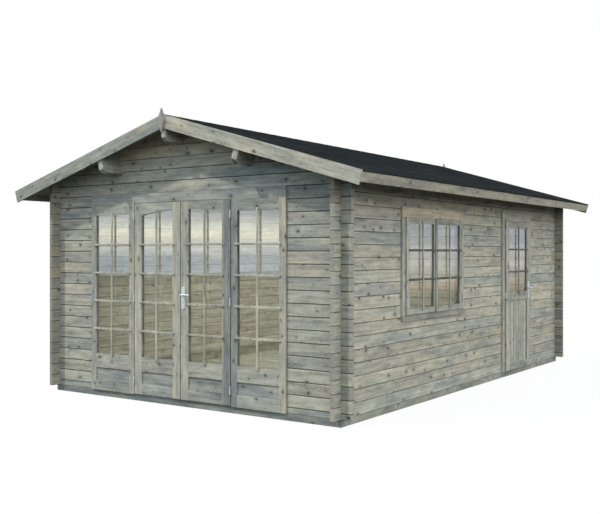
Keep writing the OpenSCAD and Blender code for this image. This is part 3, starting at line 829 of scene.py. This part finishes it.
def shift(piece, chosen, move):  # moves the corners that a test chooses
    pick(piece)
    setMode("EDIT")
    bpy.ops.mesh.select_mode(type="VERT")
    bpy.ops.mesh.select_all(action="DESELECT")
    setMode("OBJECT")
    for vertex in piece.data.vertices:
        vertex.select = chosen(vertex.co)
    setMode("EDIT")
    bpy.ops.transform.translate(value=move)
    setMode("OBJECT")


def join(pieces):
    pick(*pieces)
    bpy.ops.object.join()
    return pieces[0]


def applyModifier(piece, kind, **settings):
    pick(piece)
    modifier = piece.modifiers.new(kind.lower(), kind)
    for key, value in settings.items():
        setattr(modifier, key, value)
    bpy.ops.object.modifier_apply(modifier=modifier.name)


def repeat(piece, count, step):
    applyModifier(piece, "ARRAY", count=count, use_relative_offset=False, use_constant_offset=True,
                  constant_offset_displace=step)


def merge(piece, other, operation="UNION"):  # a boolean with a helper that is then removed
    applyModifier(piece, "BOOLEAN", operation=operation, object=other, solver="EXACT")
    bpy.data.objects.remove(other)


def cutAt(piece, point, normal):  # drops what lies beyond a plane and closes the cut
    inEdit(piece, bpy.ops.mesh.bisect, plane_co=point, plane_no=normal, use_fill=True, clear_outer=True)


def weld(piece, reach):
    inEdit(piece, bpy.ops.mesh.remove_doubles, threshold=reach)


def place(piece, location, turn=(0, 0, 0)):
    pick(piece)
    piece.rotation_euler = turn
    piece.location = location
    bpy.ops.object.transform_apply()


def mirrored(piece):  # a copy on the other slope with a mesh of its own
    other = piece.copy()
    other.data = piece.data.copy()
    scene.collection.objects.link(other)
    other.scale = (-1, 1, 1)
    place(other, (0, 0, 0))
    inEdit(other, bpy.ops.mesh.normals_make_consistent, inside=False)
    return other


def finishPiece(piece, name, body, material, stands=()):
    piece.name = name
    piece.data.name = name
    dress(piece, material)
    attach(piece, body)
    if stands:
        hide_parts(*stands)


# Glazing bars lie on the face of each frame and lap a little onto it
glazingBars = {
    "width": 0.021, "thick": 0.014, "lap": 0.024, "ease": 0.003, "halved": 0.001,
    "archGap": 0.002,  # from the arch of a leaf
    "knots": 0.3, "doorTone": 0.58, "doorLight": 1.06,
    "sash": (0.45, 0.30, 1.0),  # tone, and how light the level bars and the uprights are; the darker level bars are painted shade
    "sideDoor": (0.45, 0.36, 0.60),
}
doorRows = {"first": 0.257, "step": 0.2857, "count": 4}
windowRows = {"first": 0.278, "step": 0.2835, "count": 2}
sideDoorRows = {"first": 0.246, "step": 0.267, "count": 2}


def barGrille(name, body, runAxis, face, span, rise, rows, material):
    outward = 1 if runAxis else -1  # the side's frames face +X, the front's -Y
    half, over, thick = glazingBars["width"] / 2, glazingBars["lap"], glazingBars["thick"]
    middle = (span[0] + span[1]) / 2

    def bar(ends, heights, deep):
        low, high = [0, 0, heights[0]], [0, 0, heights[1]]
        low[runAxis], high[runAxis] = ends
        low[1 - runAxis], high[1 - runAxis] = sorted((face, face + outward * deep))
        return block(low, high, glazingBars["ease"])

    piece = bar((middle - half, middle + half), (rise[0] - over, rise[1] + over), thick)
    heights = [rise[0] + rows["first"] + rows["step"] * i for i in range(rows["count"])]
    ends = (span[0] - over, span[1] + over)
    level = [bar(ends, (z - half, z + half), thick - glazingBars["halved"]) for z in heights]
    merge(piece, join(level))
    finishPiece(piece, name, body, material)


def levelBarLayout(middles, tone, levelShade, uprightLight):
    def layout(x, y, z):
        near = glazingBars["width"] / 2 + touch
        upright = either([within(y, m - near, m + near) for m in middles])
        # painted shade darkens the level bars
        return lay(*framed(upright, y, z, 0.0), timesPlus(upright, 5.0, firstBoard["levelBar"]), tone=tone,
                   light=choose(upright, levelShade, uprightLight))
    return layout


def doorBarLayout(x, y, z):
    return lay(z, x, boardAt("doorBar", x), tone=glazingBars["doorTone"], light=glazingBars["doorLight"])


barWood = partial(boardWood, knots=glazingBars["knots"])
doorBarMaterial = barWood("doorBars", doorBarLayout)
leafSpan = (leafMiddle - leafOpen, leafMiddle + leafOpen)
fixedSpan = (fixedMiddle - fixedOpen, fixedMiddle + fixedOpen)
archCorner = min(corners("right_leaf_glass"), key=lambda c: abs(c.x - leafMiddle) - c.z)
leafRise = (leafPane[0].z + bite, archCorner.z - bite - glazingBars["archGap"])
fixedRise = (fixedPane[0].z + bite, fixedPane[1].z - bite)
for side, turned in (("right", False), ("left", True)):
    for part, body, span, rise in (("Leaf", side + "_door", leafSpan, leafRise),
                                   ("Sidelight", "house", fixedSpan, fixedRise)):
        ends = (-span[1], -span[0]) if turned else span
        barGrille(side + part + "Bars", body, 0, leafBox[0].y, ends, rise, doorRows, doorBarMaterial)
sashBarLayout = levelBarLayout([(low + high) / 2 for low, high in sashOpenings], *glazingBars["sash"])
sashBarMaterial = barWood("sashBars", sashBarLayout)
sashRise = (sashPane[0].z + bite, sashPane[1].z - bite)
for name, span in zip(("frontSashBars", "rearSashBars"), sashOpenings):
    barGrille(name, "house", 1, sashBox[1].x, span, sashRise, windowRows, sashBarMaterial)
sideBarLayout = levelBarLayout([sideMiddle], *glazingBars["sideDoor"])
sideBarMaterial = barWood("sideDoorBars", sideBarLayout)
barGrille("sideLeafBars", "side_door", 1, sideBox[1].x, (sideMiddle - sideOpen, sideMiddle + sideOpen),
          (sidePane[0].z + bite, sidePane[1].z - bite), sideDoorRows, sideBarMaterial)
print("glazing bars made")


# Each CAD pane is the inner one of a double-glazed unit, and this is the outer one
outerPanes = {"frontDepth": 0.0165, "sideDepth": 0.012, "trim": 0.007, "weld": 0.00001}  # depths behind the frame


def outerPane(name, node, body, runAxis, move):
    low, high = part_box(node)
    trim = outerPanes["trim"]
    piece = addObject(name, nodes[node].data.copy())
    weld(piece, outerPanes["weld"])
    for i, edge in enumerate(levels(node, runAxis, lambda c: c.z < low.z + trim)):
        inward = [0, 0, 0]
        inward[runAxis] = -trim if i % 2 else trim
        shift(piece, lambda c: abs(c[runAxis] - edge) < touch, inward)
    shift(piece, lambda c: c.z < low.z + touch, (0, 0, trim))
    shift(piece, lambda c: c.z > (low.z + high.z) / 2, (0, 0, -trim))
    shift(piece, lambda c: True, move)
    finishPiece(piece, name, body, glassMaterial)


frontMove = (0, leafBox[0].y + outerPanes["frontDepth"] - leafPane[0].y, 0)
sideMove = (sideBox[1].x - outerPanes["sideDepth"] - sidePane[1].x, 0, 0)
outerPane("outerSidelightPanes", "sidelight_glass", "house", 0, frontMove)
outerPane("outerLeftPane", "left_leaf_glass", "left_door", 0, frontMove)
outerPane("outerRightPane", "right_leaf_glass", "right_door", 0, frontMove)
outerPane("outerSashPanes", "window_glass", "house", 1, sideMove)
outerPane("outerSidePane", "side_leaf_glass", "side_door", 1, sideMove)
print("outer panes made")


# Roof boards run down the slope and are cut plumb at the ridge
def roofBoards():
    low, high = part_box("right_roof_boards")
    step = (high.y - low.y) / roofCover["boards"]
    length = eaveCorner.x / slopeCos
    lowest = min(c.z for c in corners("right_roof_boards") if c.x < ridgeCorner.x + touch)
    thick = (ridgeCorner.z - lowest) * slopeCos
    board = block((-roofCover["ridgeRun"], low.y, -thick), (length, low.y + step, 0), roofCover["boardEase"])
    repeat(board, roofCover["boards"], (0, step, 0))
    place(board, (0, 0, ridgeCorner.z), (0, pitch, 0))
    cutAt(board, (ridgeCorner.x, 0, 0), (-1, 0, 0))
    for piece, side in ((mirrored(board), "left"), (board, "right")):
        finishPiece(piece, side + "RoofPlanks", "house", roofBoardMaterial, [side + "_roof_boards"])


# Floor boards run across the house and leave out the door thresholds
def floorBoards():
    low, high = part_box("floor_boards")
    step = (high.y - low.y) / floorCover["boards"]
    past = floorCover["past"]
    board = block(low, (high.x, low.y + step - floorCover["gap"], high.z), floorCover["ease"])
    repeat(board, floorCover["boards"], (0, step, 0))
    doorEdge = levels("floor_boards", 0, lambda c: c.y < low.y + past)
    doorBack = levels("floor_boards", 1, lambda c: abs(c.x) < fixedBox[1].x + past and c.y < 0)[-1]
    sideEdge = levels("floor_boards", 1, lambda c: outX / 2 < c.x < high.x - past and c.y > 0)
    sideIn = levels("floor_boards", 0, lambda c: abs(c.y - sideMiddle) < floorCover["doorReach"])[0]
    for a, b in (((doorEdge[1], low.y - past), (doorEdge[2], doorBack)),
                 ((sideIn, sideEdge[0]), (high.x + past, sideEdge[1]))):
        merge(board, block((*a, low.z - past), (*b, high.z + past)), "DIFFERENCE")
    finishPiece(board, "floorPlanks", "house", floorBoardMaterial, ["floor_boards"])


roofBoards()
floorBoards()
print("roof and floor boards made")


# Shingles: rows of tabs, every second row set over by half a tab, each tab thicker at its foot
def shingleRows():
    low, high = shingleBox
    head, foot = roofCover["tabThick"]
    tab = roofCover["tab"]
    columns = math.ceil((high.y - low.y) / tab) + 1
    pieces = []
    for i in range(shingleCount):
        first = shingleStart + i * rowStep
        left = low.y - tab / 2 * (i % 2)
        far = (first + rowStep + roofCover["overlap"], left + tab - roofCover["slot"], foot)
        piece = block((first, left, 0), far)
        shift(piece, lambda c: c.x > first + rowStep, (0, 0, head))
        shift(piece, lambda c: c.x < first + rowStep and c.z > foot / 2, (0, 0, head - foot))
        repeat(piece, columns, (0, tab, 0))
        pieces.append(piece)
    sheet = join(pieces)
    cutAt(sheet, (slopeLength, 0, 0), (1, 0, 0))
    cutAt(sheet, (0, high.y, 0), (0, 1, 0))
    cutAt(sheet, (0, low.y, 0), (0, -1, 0))
    place(sheet, (0, 0, high.z), (0, pitch, 0))
    for piece, name in ((mirrored(sheet), "leftShingleTabs"), (sheet, "rightShingleTabs")):
        finishPiece(piece, name, "house", shingleMaterial)


# Folded cap pieces over the ridge, each lapping the one in front
def ridgeTabs():
    low, high = capBox
    thick = roofCover["capThick"]
    far = (high.x / slopeCos, low.y + capStep, thick)
    tab = block((-roofCover["ridgeRun"], low.y, 0), far, roofCover["capEase"])
    shift(tab, lambda c: c.y > low.y + capStep / 2, (0, 0, -thick * roofCover["capTaper"]))
    repeat(tab, capCount, (0, capStep, 0))
    place(tab, (0, 0, high.z), (0, pitch, 0))
    cutAt(tab, (0, 0, 0), (-1, 0, 0))
    sheet = join([tab, mirrored(tab)])
    weld(sheet, roofCover["capWeld"])
    finishPiece(sheet, "ridgeTabs", "house", shingleMaterial)


shingleRows()
ridgeTabs()
print("shingles made")


# Screws and key cylinders on the handle plates
handleTrim = {  # radius, rise, and the slot: half its width and height, and its floor
    "screw": (0.0045, 0.0016, (0.0054, 0.0005, 0.4)),
    "key": (0.0085, 0.003, (0.0009, 0.005, 0.2)),
    "ease": 0.0008, "sides": 20,
    "screwIn": 0.016,  # from the ends of the plate
    "keyDown": 0.149,  # from its top
}


def stud(kind):  # a low round head along -Y with a slot in it
    radius, rise, (wide, tall, deep) = handleTrim[kind]
    bpy.ops.mesh.primitive_cylinder_add(vertices=handleTrim["sides"], radius=radius, depth=rise * 2)
    piece = bpy.context.object
    bevel(piece, handleTrim["ease"], 2)
    place(piece, (0, 0, 0), (math.radians(90), 0, 0))
    merge(piece, block((-wide, -2 * rise, -tall), (wide, -deep * rise, tall)), "DIFFERENCE")
    return piece


def plateTrim(name, node, body, axis, turns):  # turns on the low and the high face
    low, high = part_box(node)
    inset = handleTrim["screwIn"]
    pieces = []
    kinds = (("screw", low.z + inset), ("screw", high.z - inset), ("key", high.z - handleTrim["keyDown"]))
    for face, turn in zip((low[axis], high[axis]), turns):
        for kind, z in kinds:
            spot = [(low.x + high.x) / 2, (low.y + high.y) / 2, z]
            spot[axis] = face
            piece = stud(kind)
            place(piece, spot, (0, 0, turn))
            pieces.append(piece)
    finishPiece(join(pieces), name, body, hingeMaterial)


plateTrim("frontPlateTrim", "front_handle", "right_door", 1, (0, math.pi))
plateTrim("sidePlateTrim", "side_handle", "side_door", 0, (math.pi * 1.5, math.pi * 2.5))
print("handle trim made")

# Lamps, sky and floor
lighting = {
    "sunTravel": (0.378, 0.507, -0.775),
    "sunStrength": 2.3, "sunColour": (1.0, 0.91, 0.86), "sunAngle": 2.2,
    "baseSky": (0.78, 0.94, 1.07),  # from all of the sky
    "sideSky": (1.85, 1.62, 1.44),  # more towards the window side
    "roomPower": (64.0, 86.0),  # from the ceiling and from the floor
    "roomColour": ((0.94, 1.0, 1.06), (1.0, 0.98, 0.98)),
    "roomShare": (0.80, 0.97),  # how much of the floor each lamp covers
    "roomGap": (0.12, 0.1),  # under the eaves, and over the floor
}


def addLamp(name, kind, power, colour):
    data = bpy.data.lights.new(name, kind)
    data.energy = power
    data.color = colour
    return addObject(name, data)


def addRoomLamps():  # soft and unseen, at the ceiling and the floor
    low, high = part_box("floor_boards")
    gaps = lighting["roomGap"]
    heights = (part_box("left_wall")[1].z - gaps[0], high.z + gaps[1])
    for i, name in enumerate(("roomLampDown", "roomLampUp")):
        lamp = addLamp(name, "AREA", lighting["roomPower"][i], lighting["roomColour"][i])
        lamp.data.shape = "RECTANGLE"
        lamp.data.size = (high.x - low.x) * lighting["roomShare"][i]
        lamp.data.size_y = (high.y - low.y) * lighting["roomShare"][i]
        lamp.location = (0, 0, heights[i])
        lamp.rotation_euler = (math.pi * i, 0, 0)
        for ray in ("visible_camera", "visible_glossy", "visible_transmission"):
            setattr(lamp, ray, False)


# What the glass mirrors, by height over the horizon: a bright sky in front, a warmer one at the side
mirrorSky = {
    "cloud": 0.010,
    "cloudRate": (16.0, 16.0, 60.0), "cloudDetail": 4.0,
    "rate": 10.0, "start": 0.45,  # heights from -0.045 to 0.055
    "turn": (-0.2, 0.2),  # from the front's sky to the side's
    "strength": 2.0,
    "front": [
        (0.174, (56, 54, 50)), (0.21, (122, 130, 146)), (0.25, (134, 151, 174)), (0.35, (136, 153, 175)),
        (0.414, (153, 166, 180)), (0.478, (190, 193, 201)), (0.622, (236, 234, 222)), (0.694, (248, 245, 231)),
        (0.758, (220, 222, 215)), (0.83, (188, 192, 201)), (0.95, (150, 164, 177))],
    "side": [
        (0.0, (60, 56, 52)), (0.035, (112, 98, 94)), (0.085, (142, 122, 110)), (0.13, (148, 136, 127)),
        (0.18, (140, 137, 134)), (0.25, (162, 158, 160)), (0.32, (174, 168, 170)), (0.39, (162, 160, 163)),
        (0.46, (172, 172, 180)), (0.60, (146, 150, 165)), (0.74, (140, 147, 163)), (0.95, (133, 141, 158))],
}


def raySorts():  # rays that see the plain white stage, and rays that a pane or metal mirrors
    path = addNode("LightPath").outputs
    bounced = isOver(path["Glossy Depth"], 0.5)
    through = times(path["Is Transmission Ray"], bounced)
    straight = minus(path["Is Transmission Ray"], through)
    return largest(path["Is Camera Ray"], straight), largest(path["Is Glossy Ray"], through)


def shaderOf(kind, **values):
    node = addNode(kind)
    feedAll(node, values)
    return node.outputs[0]


def mixShaders(share, first, second):
    return fill(addNode("MixShader"), share, first, second)


def setSky():
    sky = mirrorSky
    scene.world = bpy.data.worlds.new("softSky")
    tree = openTree(scene.world)
    x, y, z = coordinate("Generated")
    sideGlow = scaleColour(combine(*lighting["sideSky"]), largest(x, 0.0))
    glow = mixColour(1.0, [*lighting["baseSky"], 1.0], sideGlow, "ADD")
    soft = tree["Background"]
    feedAll(soft, {"Color": glow, "Strength": isOver(z, 0.0)})
    cloud = noise(stretched((x, y, z), sky["cloudRate"]), 1.0, sky["cloudDetail"])
    tone = timesPlus(swing(cloud, sky["cloud"], z), sky["rate"], sky["start"])
    colour = mixColour(mapRange(x, *sky["turn"]), colourRamp(tone, sky["front"]), colourRamp(tone, sky["side"]))
    mirror = shaderOf("Background", Color=colour, Strength=sky["strength"])
    white = shaderOf("Background", Color=(1, 1, 1, 1))
    clear, reflected = raySorts()
    unseen = mixShaders(reflected, soft.outputs[0], mirror)
    feed(tree["World Output"].inputs["Surface"], mixShaders(clear, unseen, white))


floorLook = {
    "radius": 24.0, "sides": 96, "drop": 0.001, "colour": (74, 72, 66), "pale": (0.8, 0.8, 0.8, 1), "glow": 0.93,
}


def layFloor():
    look = floorLook
    bpy.ops.mesh.primitive_circle_add(vertices=look["sides"], radius=look["radius"], fill_type="NGON",
                                      location=(0, 0, -look["drop"]))
    floor = bpy.context.object
    floor.name = "paleFloor"
    material = bpy.data.materials.new("paleFloor")
    tree = openTree(material)
    tree.remove(tree["Principled BSDF"])
    matt = shaderOf("BsdfDiffuse", Color=linear(*look["colour"]))
    pale = shaderOf("BsdfDiffuse", Color=look["pale"])
    seen = mixShaders(look["glow"], pale, shaderOf("Emission"))
    feed(tree["Material Output"].inputs["Surface"], mixShaders(raySorts()[0], matt, seen))
    dress(floor, material)


sun = addLamp("keySun", "SUN", lighting["sunStrength"], lighting["sunColour"])
sun.data.angle = math.radians(lighting["sunAngle"])
sun.rotation_euler = Vector(lighting["sunTravel"]).to_track_quat("-Z", "Y").to_euler()
addRoomLamps()
setSky()
layFloor()
print("light and floor set")
